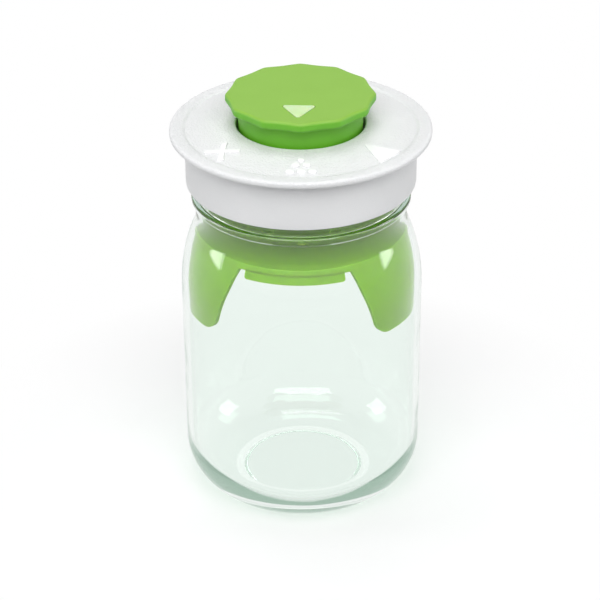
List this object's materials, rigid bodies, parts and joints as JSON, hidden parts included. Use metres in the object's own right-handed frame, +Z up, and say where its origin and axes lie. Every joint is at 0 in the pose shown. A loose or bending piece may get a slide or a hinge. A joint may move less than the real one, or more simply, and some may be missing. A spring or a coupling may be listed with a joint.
{
  "type": "fermentation jar",
  "caption": "Glass fermentation jar with a screw lid, a turning valve stopper and a soft winged press that holds the food under its brine.",
  "frame": {"origin": "centre of the jar's foot, on the surface that it stands on", "axes": "+Z up along the jar's axis, -Y is the front, where the stopper's pointer stands at rest, +X is to the right seen from the front"},
  "size_m": [0.114, 0.114, 0.1936],
  "materials": {
    "clear_glass": "polished soda-lime glass",
    "white_plastic": "finely grained moulded polypropylene",
    "green_plastic": "finely grained moulded polypropylene",
    "pale_green_plastic": "smooth moulded plastic",
    "clear_silicone": "translucent silicone rubber",
    "green_silicone": "matt silicone rubber"
  },
  "bodies": {
    "jar": {"glass_jar": "clear_glass"},
    "gasket": {"lid_gasket": "clear_silicone"},
    "lid": {"lid": "white_plastic", "port_seal": "clear_silicone"},
    "seal_ring": {"stem_seal_ring": "clear_silicone"},
    "stopper": {"stopper_cap": "green_plastic", "pointer_inlay": "pale_green_plastic", "valve_plate": "white_plastic"},
    "valve": {"umbrella_valve": "clear_silicone"},
    "press": {"press_plate": "green_silicone"},
    "wing_right": {"press_wing_right": "green_silicone"},
    "wing_left": {"press_wing_left": "green_silicone"},
    "wing_back": {"press_wing_back": "green_silicone"}
  },
  "joints": [
    {"name": "lid_lift", "type": "slide", "parent": "jar", "child": "gasket", "axis": [0, 0, 1], "range_m": [0, 0.06]},
    {"name": "lid_turn", "type": "hinge", "parent": "gasket", "child": "lid", "pos_m": [0, 0, 0.1753], "axis": [0, 0, 1], "range_deg": [0, 360]},
    {"name": "stopper_lift", "type": "slide", "parent": "lid", "child": "seal_ring", "axis": [0, 0, 1], "range_m": [0, 0.035]},
    {"name": "stopper_turn", "type": "hinge", "parent": "seal_ring", "child": "stopper", "pos_m": [0, 0, 0.1801], "axis": [0, 0, 1], "range_deg": [-50, 50]},
    {"name": "valve_lift", "type": "slide", "parent": "stopper", "child": "valve", "axis": [0, 0, 1], "range_m": [0, 0.0008], "stiffness_N_per_m": 15, "springref_m": -0.0003},
    {"name": "press_slide", "type": "slide", "parent": "jar", "child": "press", "axis": [0, 0, 1], "range_m": [-0.066, 0]},
    {"name": "wing_right_fold", "type": "hinge", "parent": "press", "child": "wing_right", "pos_m": [0.0315, -0.02125, 0.1279], "axis": [0.5592, 0.829, 0], "range_deg": [0, 20], "stiffness_Nm_per_rad": 0.05, "springref_deg": -5.73},
    {"name": "wing_left_fold", "type": "hinge", "parent": "press", "child": "wing_left", "pos_m": [-0.03415, -0.01666, 0.1279], "axis": [0.4384, -0.8988, 0], "range_deg": [0, 20], "stiffness_Nm_per_rad": 0.05, "springref_deg": -5.73},
    {"name": "wing_back_fold", "type": "hinge", "parent": "press", "child": "wing_back", "pos_m": [0.00265, 0.03791, 0.1279], "axis": [-0.9976, 0.0698, 0], "range_deg": [0, 20], "stiffness_Nm_per_rad": 0.05, "springref_deg": -5.73}
  ],
  "couplings": [
    {"joint": "wing_left_fold", "follows": "wing_right_fold", "ratio": 1},
    {"joint": "wing_back_fold", "follows": "wing_right_fold", "ratio": 1}
  ]
}
